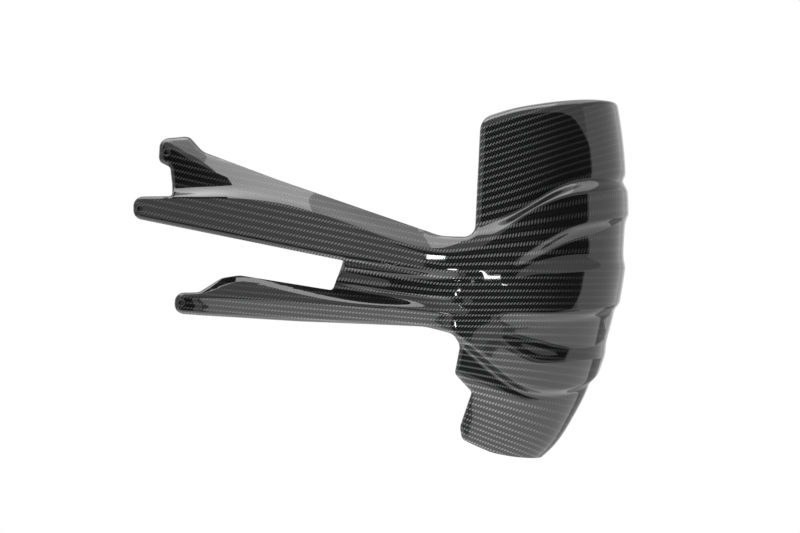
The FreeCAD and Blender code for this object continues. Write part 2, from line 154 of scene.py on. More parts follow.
# Set-back of the upper lug, of the web and of the lower arm, and the fall of the lower arm's face
PAD = 14.0
WEB = 14.0
LOWER = 3.0
TILT = 4.0
# Turned-in lower edge of the lower arm, and the fall of the rows about its lug
LOWER_FLANGE = 7.0
LUG_FALL = 1.0
# Step to the bottom panel, roll of the top rim, flare towards the rim and draw-in of the bottom edge
DROP = 3.0
ROLL = 3.0
FLARE = 5.0
DRAW = 6.0
# Distance of a row that runs close beside an edge, and the third finger's share of the rise
BESIDE = 2.5
THIRD_FINGER = 0.85


def smooth(points):
    """A line through the points that does not overshoot them, as a function of x."""
    xs = [point[0] for point in points]
    values = [point[1] for point in points]
    slopes = []
    for i in range(len(xs) - 1):
        slopes.append((values[i + 1] - values[i]) / (xs[i + 1] - xs[i]))
    tangents = [slopes[0]]
    for before, after in zip(slopes, slopes[1:]):
        tangents.append(2 * before * after / (before + after) if before * after > 0 else 0.0)
    tangents.append(slopes[-1])

    def at(x):
        if x <= xs[0]:
            return values[0] + tangents[0] * (x - xs[0])
        if x >= xs[-1]:
            return values[-1] + tangents[-1] * (x - xs[-1])
        i = max(k for k in range(len(xs) - 1) if xs[k] <= x)
        span = xs[i + 1] - xs[i]
        t = (x - xs[i]) / span
        start = (1 + 2 * t) * (1 - t) ** 2 * values[i] + t * (1 - t) ** 2 * span * tangents[i]
        end = t * t * (3 - 2 * t) * values[i + 1] + t * t * (t - 1) * span * tangents[i + 1]
        return start + end

    return at


def along(arm, shell):
    """A line along the guard: shares of the arm, with the lug that a height is measured from as
    a third value, then distances before the tread."""
    points = [(share * FOLD_X, value + sum(lug)) for share, value, *lug in arm]
    points += [(TREAD_X - distance, value) for distance, value in shell]
    return smooth(points)


def mixed(first, second, share):
    return lambda x: (1 - share) * first(x) + share * second(x)


def shifted(line, amount):
    return lambda x: line(x) + amount


def level(value):
    return lambda x: value


# Upper arm: trimmed edge of its flange, its pad, and the upper edge of its face
flange_back = along(
    [(-0.07, 25, UPPER_Z), (0.06, 20, UPPER_Z), (0.11, 15, UPPER_Z), (0.14, 13.5, UPPER_Z),
     (0.17, 9, UPPER_Z), (0.2, 2.3, UPPER_Z), (0.46, 22), (0.7, 3.3), (0.97, -15.8), (1.0, -16.5)],
    [(130.5, -15.5), (118.5, -9.5), (107.5, -7.3), (96.5, -4.3), (77.5, 4.8), (66.5, 13),
     (54.5, 19), (40.5, 24.2), (24.5, 26.5), (6.5, 26.5)])
pad_top = along(
    [(-0.07, 12.8, UPPER_Z), (0.06, 10.5, UPPER_Z), (0.08, 9, UPPER_Z), (0.11, 3, UPPER_Z),
     (0.13, -7.5, UPPER_Z), (0.17, -14, UPPER_Z), (0.22, -20, UPPER_Z), (0.26, 20), (0.37, 21.4),
     (0.53, 10.5), (0.87, -16.5), (1.0, -22.5)],
    [(130.5, -19), (118.5, -13.1), (107.5, -10.9), (96.5, -7.9), (77.5, 1.1), (66.5, 9.4),
     (54.5, 15.4), (40.5, 20.6), (24.5, 22.9), (6.5, 22.9)])
crest_1 = along(
    [(-0.07, 9.4), (0.33, 8.6), (0.4, 7.1), (0.5, 3), (0.87, -25.9), (0.93, -30.8), (1.0, -32.6)],
    [(122.5, -30.8), (109.5, -25.9), (100.5, -17.6), (84.5, -6), (70.5, 3.4), (54.5, 9.4), (40.5, 12.8),
     (21.5, 14.2), (2.5, 14.6)])
pad_foot = along(
    [(-0.07, 15.4), (0.25, 15.8), (0.37, 14.6), (0.53, 5.6), (0.7, -7.5), (0.87, -21.4), (1.0, -27.5)],
    [(122.5, -22.5), (107.5, -16.5), (96.5, -11.2), (77.5, -0.2), (66.5, 7.2), (54.5, 12.4),
     (40.5, 16.7), (21.5, 18.4), (2.5, 18.6)])
# Lower edge of the upper face, and the valley and web below it
crest_2 = along(
    [(-0.07, -9.2), (0.5, -34.4), (0.68, -38.9), (0.87, -45.8), (1.0, -48.5)],
    [(114.5, -47.6), (100.5, -43.9), (84.5, -37.1), (66.5, -26.2), (54.5, -19.1), (40.5, -13.1),
     (24.5, -9.8), (4.5, -4.9)])
foot_2 = along(
    [(-0.07, -12.6), (0.5, -37.4), (0.68, -41.9), (0.87, -48.8), (1.0, -51.5)],
    [(114.5, -50.8), (100.5, -48), (84.5, -41.9), (66.5, -31.2), (54.5, -24), (40.5, -17.6),
     (24.5, -13.9), (4.5, -9.4)])
foot_3 = along(
    [(-0.07, -26), (0.31, -32), (0.5, -40), (0.68, -49.5), (1.0, -60)],
    [(114.5, -59.5), (96.5, -54.4), (77.5, -42.4), (54.5, -39), (24.5, -36.8), (4.5, -36)])
crest_3 = along(
    [(-0.07, -31), (0.31, -36), (0.5, -44), (0.68, -52), (1.0, -63)],
    [(114.5, -62.5), (96.5, -58.1), (77.5, -47.6), (54.5, -46.9), (24.5, -45), (4.5, -43.1)])
# Lower arm: its top flange, and the upper edge of its face
crest_4 = along(
    [(0.03, 9.4, LOWER_Z), (0.14, 8.3, LOWER_Z), (0.2, 10.1, LOWER_Z), (0.24, 15.4, LOWER_Z),
     (0.27, -50.6), (0.31, -48.8), (0.35, -49.5), (0.5, -54.8), (0.62, -59.6), (0.87, -67.1), (1.0, -70.4)],
    [(114.5, -75.4), (92.5, -79.1), (62.5, -80.6), (40.5, -79.9), (24.5, -76.9), (16.5, -74.2),
     (8.5, -71.6)])
foot_4 = along(
    [(0.03, 7.6, LOWER_Z), (0.17, 6.9, LOWER_Z), (0.3, -57.6), (0.43, -60), (0.7, -67.4), (1.0, -73.5)],
    [(114.5, -78.4), (92.5, -82.9), (77.5, -84.6), (62.5, -85.5), (40.5, -84.8), (24.5, -81.8),
     (10.5, -76.9)])
lower_crest = along(
    [(0.03, 5.6, LOWER_Z), (0.17, 5.3, LOWER_Z), (0.3, -66), (0.43, -67.5), (0.57, -70.1), (0.7, -72.4),
     (1.0, -76.5)],
    [(114.5, -81.5), (92.5, -86), (77.5, -87.8), (62.5, -88.6), (40.5, -88), (24.5, -85), (10.5, -80.5)])
# Lower edge of the lower arm and of the third finger, and its upper edge on the shell
crest_6 = along(
    [(0.03, -5, LOWER_Z), (0.15, -7.5, LOWER_Z), (0.2, -8.6, LOWER_Z), (0.37, -81.4), (0.53, -83.6),
     (0.87, -85.9), (0.95, -87.4), (1.0, -89.6)],
    [(133.5, -94.9), (122.5, -102.4), (107.5, -114.8), (92.5, -127.9), (77.5, -135.4), (62.5, -138),
     (47.5, -136.9), (32.5, -132), (20.5, -124.1)])
foot_6 = along(
    [(0.03, -8, LOWER_Z), (0.15, -10.5, LOWER_Z), (0.2, -11.6, LOWER_Z), (0.37, -84.6), (0.87, -89.1),
     (1.0, -93)],
    [(133.5, -98.8), (114.5, -114.8), (92.5, -132.6), (77.5, -140.7), (62.5, -143.6), (47.5, -142.5),
     (32.5, -137.2), (23.5, -131.6)])
foot_5 = along(
    [(0.03, 2, LOWER_Z), (0.2, 1, LOWER_Z), (0.5, -73.5), (1.0, -81)],
    [(114.5, -88), (92.5, -96.6), (78.5, -101.6), (66.5, -106.1), (54.5, -107.6), (40.5, -107.2),
     (24.5, -105.8), (13.5, -103.1)])
crest_5 = along(
    [(0.03, 0, LOWER_Z), (0.2, -1.5, LOWER_Z), (0.5, -76), (1.0, -83.5)],
    [(114.5, -92), (92.5, -101.6), (78.5, -107.6), (66.5, -112.5), (54.5, -114.4), (40.5, -114),
     (24.5, -112.1), (16.5, -109.1)])
# Edges of the shell and of its panels
rim = along(
    [(0.0, 60, UPPER_Z), (1.0, 62)],
    [(116.5, 67.1), (107.5, 70.5), (84.5, 76.9), (62.5, 80.2), (40.5, 83), (21.5, 85), (8.5, 85.5)])
step = along(
    [(0.05, -118), (1.0, -119)],
    [(137.5, -121.9), (122.5, -133.9), (114.5, -137.2), (100.5, -142.5), (84.5, -146.6), (66.5, -150.4),
     (47.5, -151.9), (30.5, -146.6)])
step_foot = along(
    [(0.05, -124), (1.0, -125)],
    [(137.5, -127.9), (122.5, -139.1), (114.5, -142.1), (100.5, -146.6), (84.5, -150.4), (66.5, -154.5),
     (47.5, -156.4), (32.5, -152.6)])
bottom = along(
    [(0.05, -160), (1.0, -164)],
    [(125.5, -176), (114.5, -181.5), (100.5, -187.5), (84.5, -191), (70.5, -192), (43.5, -190.5)])
wall_top = shifted(rim, -6)
top_flange = smooth([
    (-0.1, LUG_FLANGE), (0.2, LUG_FLANGE), (0.37, 0.5 * (LUG_FLANGE + FLANGE)), (0.55, FLANGE),
    (0.86, FLANGE), (1.0, 0.85 * FLANGE)])


def skin_rows(rise, valley):
    """Rows of the skin from the top rim to the bottom edge: height, lift over the side wall, draw-in."""

    def flange_level(share):
        """The arm's flange, and rows past its trimmed edge that run on at its slope."""
        arm = [(t, rise - share * top_flange(t)) for t in (-0.07, 0.1, 0.25, 0.37, 0.53, 0.86)]
        return along(arm + [(1.0, rise - top_flange(1.0))], [(128.5, 0), (62.5, 0), (2.5, 0)])

    def pad_level(share, shell_level):
        """The upper lug's pad at its set-back, then a share of the flange's depth, then the shell."""
        arm = [(t, rise - PAD) for t in (-0.07, 0.1, 0.2)]
        arm += [(t, rise - share * top_flange(t)) for t in (0.37, 0.53, 0.86, 1.0)]
        return along(arm, [(128.5, shell_level), (62.5, shell_level), (2.5, shell_level)])

    def valley_level(depth):
        """The web's set-back between the arms, the palm, then the valley between two fingers."""
        arm = [(-0.07, rise - WEB - depth), (0.68, rise - WEB - depth), (0.8, rise - 0.8 * WEB),
               (0.9, rise - 0.5 * WEB), (1.0, rise - 0.2 * WEB)]
        shell = [(130.5, 0.95 * rise), (116.5, rise), (86.5, rise), (66.5, valley * rise),
                 (2.5, valley * rise)]
        return along(arm, shell)

    def lower_level(share, shell_share):
        """The lower arm's tilted face, the palm, then a share of the rise on the shell."""
        face = rise - LOWER - TILT * share
        arm = [(0.03, rise - LOWER), (0.18, rise - LOWER), (0.24, face), (0.8, face),
               (1.0, 0.5 * (face + rise))]
        ridge = shell_share * rise
        return along(arm, [(128.5, rise), (102.5, rise), (72.5, ridge), (2.5, ridge)])

    def lower_back_level(past):
        """The lower arm's top flange, and a row past its trimmed edge that runs on at its slope."""
        lug = rise - LOWER - 2 * LUG_FALL - past
        back = rise - 0.9 * WEB - 1.5 * past
        arm = [(0.03, lug), (0.17, lug), (0.26, back), (0.62, back),
               (0.68, rise - WEB - 2), (0.85, rise - 0.75 * WEB), (1.0, rise - 0.3 * WEB)]
        return along(arm, [(128.5, rise), (62.5, rise), (2.5, rise)])

    lug_edge = rise - LOWER - LUG_FALL
    lower_top_level = along(
        [(0.03, lug_edge), (0.17, lug_edge), (0.26, rise - 0.5 * WEB),
         (0.62, rise - 0.5 * WEB), (0.68, rise - 0.6 * WEB), (1.0, rise - 0.25 * WEB)],
        [(128.5, rise), (97.5, rise), (74.5, valley * rise), (2.5, valley * rise)])
    lower_edge = rise - LOWER - TILT - LOWER_FLANGE
    lower_foot_level = along(
        [(0.03, rise - LOWER - 4 * LUG_FALL), (0.2, rise - LOWER - 5 * LUG_FALL), (0.26, lower_edge),
         (0.85, lower_edge), (1.0, 0)],
        [(128.5, 0), (62.5, 0), (2.5, 0)])
    under_level = along(
        [(0.03, lower_edge), (0.85, lower_edge), (1.0, 0)], [(128.5, 0), (62.5, 0), (2.5, 0)])
    panel_level = along(
        [(0.03, 0.5 * DROP), (1.0, 0.5 * DROP)],
        [(128.5, 0.5 * DROP), (92.5, 0.5 * DROP), (57.5, 0), (2.5, 0)])
    step_level = along(
        [(0.03, -DROP), (1.0, -DROP)], [(128.5, -DROP), (97.5, -DROP), (62.5, 0), (2.5, 0)])
    web_level = along(
        [(-0.07, rise - WEB), (0.68, rise - WEB), (0.8, rise - 0.8 * WEB), (1.0, rise - 0.2 * WEB)],
        [(130.5, 0.95 * rise), (116.5, rise), (2.5, rise)])
    top = level(rise)
    past_flange = flange_level(PAST_FLANGE)
    return [
        # Rolled top rim
        (shifted(rim, 0.8), shifted(past_flange, -2.4 * ROLL), -1.4 * FLARE),
        (shifted(rim, -1.0), shifted(past_flange, -0.8 * ROLL), -1.4 * FLARE),
        (shifted(rim, -3.0), shifted(past_flange, -0.2 * ROLL), -1.3 * FLARE),
        # Upper side wall, past the trimmed edge of the upper arm's flange
        (wall_top, past_flange, -1.2 * FLARE),
        (mixed(wall_top, flange_back, 0.35), past_flange, -FLARE),
        (mixed(wall_top, flange_back, 0.7), past_flange, -0.8 * FLARE),
        (shifted(flange_back, 2 * BESIDE), past_flange, -0.68 * FLARE),
        (shifted(flange_back, BESIDE), flange_level(NEAR_FLANGE), -0.64 * FLARE),
        # Upper arm's flange and the pad of its lug
        (flange_back, flange_level(1.0), -0.5 * FLARE),
        (pad_top, pad_level(0.64, 0), 0),
        (pad_foot, pad_level(0.33, 0.6 * rise), 0),
        # Upper arm's face, then the palm and the first finger
        (crest_1, top, 0),
        (shifted(crest_1, -BESIDE), top, 0),
        (mixed(crest_1, crest_2, 0.5), top, 0),
        (shifted(crest_2, BESIDE), top, 0),
        (crest_2, top, 0),
        # Step down to the web, then the valley below the first finger
        (foot_2, valley_level(0), 0),
        (mixed(foot_2, foot_3, 0.5), valley_level(1), 0),
        (foot_3, valley_level(1), 0),
        # Web between the arms, then the second finger
        (crest_3, web_level, 0),
        (shifted(crest_3, -BESIDE), web_level, 0),
        (mixed(crest_3, crest_4, 0.5), web_level, 0),
        # Lower arm's top flange, then the valley below the second finger
        (shifted(crest_4, BESIDE), lower_back_level(1.0), 0),
        (crest_4, lower_back_level(0.0), 0),
        (foot_4, lower_top_level, 0),
        # Lower arm's face, then the third finger
        (lower_crest, lower_level(0.0, valley), 0),
        (mixed(lower_crest, foot_5, 0.5), lower_level(0.2, valley), 0),
        (foot_5, lower_level(0.4, valley), 0),
        (crest_5, lower_level(0.6, THIRD_FINGER), 0),
        (mixed(crest_5, crest_6, 0.5), lower_level(0.8, THIRD_FINGER), 0),
        (shifted(crest_6, 0.8 * BESIDE), lower_level(0.95, THIRD_FINGER), 0),
        (crest_6, lower_level(1.0, THIRD_FINGER), 0),
        # Lower arm's turned-in edge, then the lower side wall
        (foot_6, lower_foot_level, 0),
        (shifted(foot_6, -BESIDE), under_level, 0),
        (mixed(foot_6, step, 0.6), panel_level, 0),
        # Stepped bottom panel
        (step, panel_level, 0),
        (step_foot, step_level, 0.06 * DRAW),
        (mixed(step_foot, bottom, 0.5), step_level, 0.17 * DRAW),
        (mixed(step_foot, bottom, 0.8), step_level, 0.45 * DRAW),
        (bottom, step_level, DRAW),
    ]


# Columns of the cage: shares of the arm and of the side wall, angles round the corner, shares of the tread
ARM_SHARES = (-0.07, 0.0, 0.06, 0.11, 0.16, 0.22, 0.3, 0.45, 0.62, 0.78, 0.9)
SIDE_SHARES = (0.0, 0.14, 0.28, 0.42, 0.55, 0.68, 0.84, 1.0)
CORNER_ANGLES = (30, 60, 90)
TREAD_SHARES = (0.33, 0.67)
# Turned-in lip on the far side, the tread's crown, and the rounds in which a crossing settles
FAR_LIP = 8.0
CROWN = 2.6
SETTLE_ROUNDS = 12


def at_radius(line, distance):
    """Where a row's line crosses the circle of that radius about the axle."""
    x = AXLE_X + distance
    for _ in range(SETTLE_ROUNDS):
        height = line(x) - AXLE_Z
        x = AXLE_X + math.sqrt(max(distance ** 2 - height ** 2, 1.0))
    return x


def tuck(x, z):
    """How far the lower side wall is tucked in towards the wheel."""
    below = max(TUCK_TOP - z, 0.0)
    soft = below * below / (below + TUCK_HEIGHT)
    reach = min(max((x - FOLD_X) / TUCK_LENGTH, 0.0), 1.0)
    return TUCK * soft * reach * reach * (3 - 2 * reach)


def section_point(angle, base, y, tilt, lift):
    """A point on the section round the tyre, lifted off the wall along its normal."""
    reach = base + lift * math.sin(tilt)
    x = AXLE_X + reach * math.cos(angle)
    z = AXLE_Z + reach * math.sin(angle)
    return Vector((x, y - lift * math.cos(tilt), z))


def row_points(sizes, line, lift, draw_in):
    """Cage points of one row, from the arm's tip round the tyre to the far lip."""
    radius = sizes.tread_radius / MM
    corner = sizes.corner_radius / MM
    width = sizes.shell_width / MM
    rise = sizes.rise / MM
    wall = rise - 0.5 * sizes.laminate / MM
    points = []
    for share in ARM_SHARES:
        x = share * FOLD_X
        points.append(Vector((x, wall - lift(x), line(x))))
    corner_x = at_radius(line, radius - corner)
    for share in SIDE_SHARES:
        x = FOLD_X + share * (corner_x - FOLD_X)
        points.append(Vector((x, wall - lift(x) + tuck(x, line(x)), line(x))))
    ratio = sizes.tread_rise / sizes.rise
    for degrees in CORNER_ANGLES:
        turn = math.radians(degrees)
        reach = radius - corner + corner * math.sin(turn) - draw_in * math.sin(turn)
        x = at_radius(line, reach)
        angle = math.atan2(line(x) - AXLE_Z, x - AXLE_X)
        height = lift(x)
        if height > 0:
            height *= 1 + (ratio - 1) * math.sin(turn)
        y = wall + corner * (1 - math.cos(turn)) + tuck(x, line(x)) * math.cos(turn)
        points.append(section_point(angle, reach, y, turn, height))
    for share in TREAD_SHARES:
        bulge = CROWN * 4 * share * (1 - share)
        y = wall + corner + share * (width - 2 * corner)
        points.append(section_point(angle, radius + bulge - draw_in, y, turn, height))
    for degrees in reversed((0,) + CORNER_ANGLES):
        turn = math.radians(degrees)
        reach = radius - corner + (corner - draw_in) * math.sin(turn)
        y = wall + width - corner * (1 - math.cos(turn))
        fade = math.sin(turn) ** 2 if height > 0 else math.sin(turn)
        points.append(section_point(angle, reach, y, math.pi - turn, height * fade))
    points.append(section_point(angle, radius - corner - FAR_LIP, wall + width, math.pi, 0))
    return points


# Outline of the trimmed guard in the side view: x, z and the rounding of each corner
OUTLINE = [
    (-5.4, -7.1, 7.6),
    (-5.4, 9.2, 7.6),
    (23.2, 9.6, 2),
    (22.2, 19.0, 8),
    (UPPER_X + 2.4, UPPER_Z - 11.2, 4),
    (UPPER_X - 6.3, UPPER_Z - 6.7, 5),
    (UPPER_X - 5.8, UPPER_Z + 10.6, 7.6),
    (UPPER_X + 15, UPPER_Z + 13.6, 7),
    (UPPER_X + 26, UPPER_Z + 1.4, 15),
    (0.46 * FOLD_X, 22.0, 300),
    (1.003 * FOLD_X, -20.3, 30),
    (TREAD_X - 118.5, -21.2, 9),
    (TREAD_X - 116.8, 14.0, 60),
    (TREAD_X - 114, 68.9, 14),
    (TREAD_X - 85, 79.5, 40),
    (TREAD_X + 70, 118.0, 0),
    (TREAD_X + 70, -235.0, 0),
    (TREAD_X - 96.5, -191.5, 40),
    (TREAD_X - 128, -175.0, 7),
    (TREAD_X - 129.5, -165.4, 9),
    (TREAD_X - 120.5, -138.8, 3),
    (TREAD_X - 133.7, -124.5, 5),
    (TREAD_X - 129.5, -102.8, 9),
    (TREAD_X - 135.3, -94.2, 9),
    (0.95 * FOLD_X, -89.0, 40),
    (0.53 * FOLD_X, -85.2, 200),
    (0.2 * FOLD_X, LOWER_Z - 10, 60),
    (LOWER_X - 5.6, LOWER_Z - 8.3, 7.4),
    (LOWER_X - 4.9, LOWER_Z + 7.3, 7.0),
    (LOWER_X + 12.8, LOWER_Z + 7.6, 9),
    (LOWER_X + 29.2, LOWER_Z + 18.2, 9),
    (LOWER_X + 43, LOWER_Z + 20.4, 18),
    (0.605 * FOLD_X, -60.2, 30),
    (0.64 * FOLD_X, -61.4, 3),
    (0.676 * FOLD_X, -39.1, 1),
]


# Corners of the outline: the most that one takes of a side, the least worth rounding, its arc's steps
SIDE_SHARE = 0.48
LEAST_CUT = 0.01
FEWEST_STEPS = 3
ARC_STEP = math.radians(6)


def rounded_outline():
    """Points of the outline with each rounded corner drawn as a short run of an arc."""
    points = []
    count = len(OUTLINE)
    for i, (x, z, rounding) in enumerate(OUTLINE):
        here = Vector((x, z))
        before = Vector(OUTLINE[i - 1][:2]) - here
        after = Vector(OUTLINE[(i + 1) % count][:2]) - here
        half = 0.5 * before.angle(after)
        cut_back = min(rounding / math.tan(half), SIDE_SHARE * before.length, SIDE_SHARE * after.length)
        if cut_back < LEAST_CUT:
            points.append(here)
            continue
        before.normalize()
        after.normalize()
        arc_radius = cut_back * math.tan(half)
        middle = (before + after).normalized()
        centre = here + middle * (cut_back / math.cos(half))
        sweep = 0.5 * math.pi - half
        side = (after - middle * after.dot(middle)).normalized()
        steps = max(FEWEST_STEPS, int(2 * sweep / ARC_STEP))
        for k in range(steps + 1):
            turn = sweep * (2 * k / steps - 1)
            inward = middle * (arc_radius * math.cos(turn))
            sideways = side * (arc_radius * math.sin(turn))
            points.append(centre - inward + sideways)
    return points


# Run of the cloth

# Slope of the weave's ribs by the height at which they cross the fold: on the arms, and past the fold
ARM_RIBS = smooth([(-120, -0.09), (-66, -0.09), (-50, -0.2), (60, -0.2)])
SHELL_RIBS = smooth([(-190, -0.37), (-150, -0.37), (-125, -0.2), (-100, -0.08), (-82, 0.0), (-48, 0.0),
                     (-30, 0.1), (0, 0.3), (40, 0.31), (120, 0.31)])
# Length past the fold after which the ribs run level
RIB_REACH = 150.0
# Height below which the ribs lie closer together, and how much closer
CLOSE_BELOW = -75.0
CLOSER = 1.25
# Reach of the search for a rib, and the times that it is halved
RIB_SEARCH = 400.0
HALVINGS = 40


def rib_height(z, run):
    """Height at which the rib through a point crosses the fold."""
    slope = SHELL_RIBS if run > 0 else ARM_RIBS
    reach = min(run, RIB_REACH)
    low = z - RIB_SEARCH
    high = z + RIB_SEARCH
    for _ in range(HALVINGS):
        middle = 0.5 * (low + high)
        if middle + slope(middle) * reach < z:
            low = middle
        else:
            high = middle
    return 0.5 * (low + high)


def cloth_point(point, run):
    """Where a cage point lies on the flat cloth, in millimetres: along the ribs and across them."""
    height = rib_height(point.z, run)
    below = min(height - CLOSE_BELOW, 0.0)
    return run, height + (CLOSER - 1) * below


def row_runs(row):
    """Lengths along one row of the cage, counted from the fold."""
    lengths = [0.0]
    for before, after in zip(row, row[1:]):
        lengths.append(lengths[-1] + (after - before).length)
    fold = lengths[len(ARM_SHARES)]
    return [length - fold for length in lengths]


# Mesh tools

# Sides of a rod that looks round
ROD_SIDES = 48


def deselect_all():
    if bpy.context.object and bpy.context.object.mode != "OBJECT":
        bpy.ops.object.mode_set(mode="OBJECT")
    bpy.ops.object.select_all(action="DESELECT")


def select_only(piece):
    deselect_all()
    piece.select_set(True)
    bpy.context.view_layer.objects.active = piece


def name_piece(piece, name):
    piece.name = name
    piece.data.name = name


def apply_modifier(piece, name, kind, **settings):
    """Adds a modifier with its settings and applies it."""
    modifier = piece.modifiers.new(name, kind)
    for key, value in settings.items():
        setattr(modifier, key, value)
    select_only(piece)
    bpy.ops.object.modifier_apply(modifier=name)


def cut(piece, cutter, operation):
    """Trims or drills a piece with a cutter, which is used up."""
    apply_modifier(piece, "cut", "BOOLEAN", object=cutter, operation=operation, solver="EXACT")
    bpy.data.objects.remove(cutter)


def pick_faces(piece, wanted):
    """Opens a piece in edit mode with only the wanted faces selected."""
    select_only(piece)
    bpy.ops.object.mode_set(mode="EDIT")
    bpy.ops.mesh.select_mode(type="FACE")
    bpy.ops.mesh.select_all(action="DESELECT")
    bpy.ops.object.mode_set(mode="OBJECT")
    for face in piece.data.polygons:
        face.select = wanted(face)
    bpy.ops.object.mode_set(mode="EDIT")


def rod_along_y(radius, length, place):
    """A round rod along Y, with its middle at a place."""
    deselect_all()
    bpy.ops.mesh.primitive_cylinder_add(
        vertices=ROD_SIDES, radius=radius, depth=length, location=place, rotation=(math.pi / 2, 0, 0))
    bpy.ops.object.transform_apply(location=True, rotation=True, scale=True)
    return bpy.context.object


# Skin

# Front of the outline's prism, what its depth has over the shell's width, and a depth well inside it
CUTTER_FRONT = -60 * MM
CUTTER_SPARE = 160 * MM
CUTTER_INSIDE = 50 * MM
# Cuts of each face along the trimmed edge
EDGE_CUTS = 2
# Shares of the arm where the flanges start, stand full, begin to end and are gone
FLANGE_START = 0.2
FLANGE_FULL = 0.3
FLANGE_ENDS = 0.95
FLANGE_GONE = 1.02
# Bolt holes: the insert of each and its place in millimetres, and the length of the drill
BOLTS = (
    ("front_insert", 0.0, 0.0, 0.0),
    ("upper_insert", UPPER_X, PAD, UPPER_Z),
    ("lower_insert", LOWER_X, LOWER, LOWER_Z),
)
DRILL_LENGTH = 100 * MM
# Angle over which the skin's edges stay sharp, and the fewest faces of a skin that trimmed well
SKIN_SHARP = math.radians(50)
FEWEST_FACES = 1000


def lay_skin(sizes):
    """The moulded surface as a grid that follows the cage, with the cloth's run as its UV map."""
    cage = [row_points(sizes, *row) for row in skin_rows(sizes.rise / MM, sizes.valley)]
    runs = [row_runs(row) for row in cage]
    last_row = len(cage) - 1
    last_column = len(cage[0]) - 1
    deselect_all()
    bpy.ops.mesh.primitive_grid_add(x_subdivisions=last_column, y_subdivisions=last_row, size=2.0)
    skin = bpy.context.object
    name_piece(skin, "guard_skin")
    places = []
    for vertex in skin.data.vertices:
        row = round((1 - vertex.co.y) / 2 * last_row)
        column = round((1 + vertex.co.x) / 2 * last_column)
        places.append((row, column))
    cloth = skin.data.uv_layers.active
    cloth.name = "cloth"
    for loop in skin.data.loops:
        row, column = places[loop.vertex_index]
        along_rib, across_rib = cloth_point(cage[row][column], runs[row][column])
        cloth.data[loop.index].uv = (along_rib * MM, across_rib * MM)
    for vertex, (row, column) in zip(skin.data.vertices, places):
        vertex.co = cage[row][column] * MM
    inside_out = skin.data.polygons[0].normal.y > 0
    bpy.ops.object.mode_set(mode="EDIT")
    bpy.ops.mesh.select_all(action="SELECT")
    bpy.ops.mesh.faces_shade_smooth()
    if inside_out:
        bpy.ops.mesh.flip_normals()
    bpy.ops.object.mode_set(mode="OBJECT")
    return skin


def outline_cutter(depth):
    """A prism with the guard's outline, along Y."""
    points = rounded_outline()
    deselect_all()
    bpy.ops.mesh.primitive_circle_add(vertices=len(points), fill_type="NGON", calc_uvs=False)
    cutter = bpy.context.object
    for vertex, point in zip(cutter.data.vertices, points):
        vertex.co = (point.x * MM, CUTTER_FRONT, point.y * MM)
    bpy.ops.object.mode_set(mode="EDIT")
    bpy.ops.mesh.select_all(action="SELECT")
    bpy.ops.mesh.extrude_region_move(TRANSFORM_OT_translate={"value": (0, depth, 0)})
    bpy.ops.mesh.select_all(action="SELECT")
    bpy.ops.mesh.normals_make_consistent(inside=False)
    bpy.ops.object.mode_set(mode="OBJECT")
    return cutter


def depth_inside(walls, place):
    """How far a point lies inside the outline, seen from the side."""
    probe = Vector((place.x, CUTTER_INSIDE, place.z))
    nearest, normal, _, distance = walls.find_nearest(probe)
    return distance if (probe - nearest).dot(normal) < 0 else -distance


def refine_edges(skin, walls, band):
    """Divides the trimmed skin finely along the outline."""
    depths = [depth_inside(walls, vertex.co) for vertex in skin.data.vertices]
    pick_faces(skin, lambda face: min(depths[index] for index in face.vertices) < band)
    bpy.ops.mesh.quads_convert_to_tris()
    bpy.ops.mesh.subdivide(number_cuts=EDGE_CUTS)
    bpy.ops.object.mode_set(mode="OBJECT")


def rolled_share(x, z):
    """How much of the roll an edge gets: none where a flange already turns in."""
    share = x / FOLD_X
    upper = z > pad_foot(x)
    lower = lower_crest(x) < z < crest_3(x)
    if share <= FLANGE_START or not (upper or lower):
        return 1.0
    before = (FLANGE_FULL - share) / (FLANGE_FULL - FLANGE_START)
    after = (share - FLANGE_ENDS) / (FLANGE_GONE - FLANGE_ENDS)
    return min(max(before, after, 0.0), 1.0)


def roll_edges(skin, walls, radius):
    """Turns the trimmed skin inwards along the outline."""
    for vertex in skin.data.vertices:
        inside = max(depth_inside(walls, vertex.co), 0.0)
        if inside < radius:
            drop = radius - math.sqrt(radius ** 2 - (radius - inside) ** 2)
            vertex.co.y += drop * rolled_share(vertex.co.x / MM, vertex.co.z / MM)


# Inserts

# Depth of an insert and how far its face stands forward of the plate's middle, in laminates
INSERT_DEPTH = 3.0
INSERT_FRONT = 0.4
# Ring and bevel of the face as shares of the radius, and the hole as a share of the depth
INSERT_RING = 0.2
INSERT_BEVEL = 0.05
INSERT_HOLE = 0.7
# Faces that look out of the plate, and the angle over which edges stay sharp
LOOKS_OUT = -0.9
INSERT_SHARP = math.radians(40)


def blind_insert(name, place, sizes):
    """A flush cup behind the plate, with a narrower blind hole in its face."""
    radius = 0.5 * sizes.bolt_hole
    depth = INSERT_DEPTH * sizes.laminate
    ring = INSERT_RING * radius
    middle = place.y - INSERT_FRONT * sizes.laminate + 0.5 * depth
    insert = rod_along_y(radius, depth, (place.x, middle, place.z))
    name_piece(insert, name)
    pick_faces(insert, lambda face: face.normal.y < LOOKS_OUT)
    bpy.ops.mesh.inset(thickness=ring)
    bpy.ops.mesh.inset(thickness=ring, depth=-ring)
    bpy.ops.mesh.extrude_region_move(TRANSFORM_OT_translate={"value": (0, INSERT_HOLE * depth, 0)})
    bpy.ops.object.mode_set(mode="OBJECT")
    apply_modifier(insert, "edges", "BEVEL", width=INSERT_BEVEL * radius, segments=2, limit_method="ANGLE")
    bpy.ops.object.shade_smooth_by_angle(angle=INSERT_SHARP)
    return insert


# Shader tools

# Sockets of a Mix node that are used for colours
MIX_FACTOR = 0
MIX_FIRST = 6
MIX_SECOND = 7
MIX_RESULT = 2


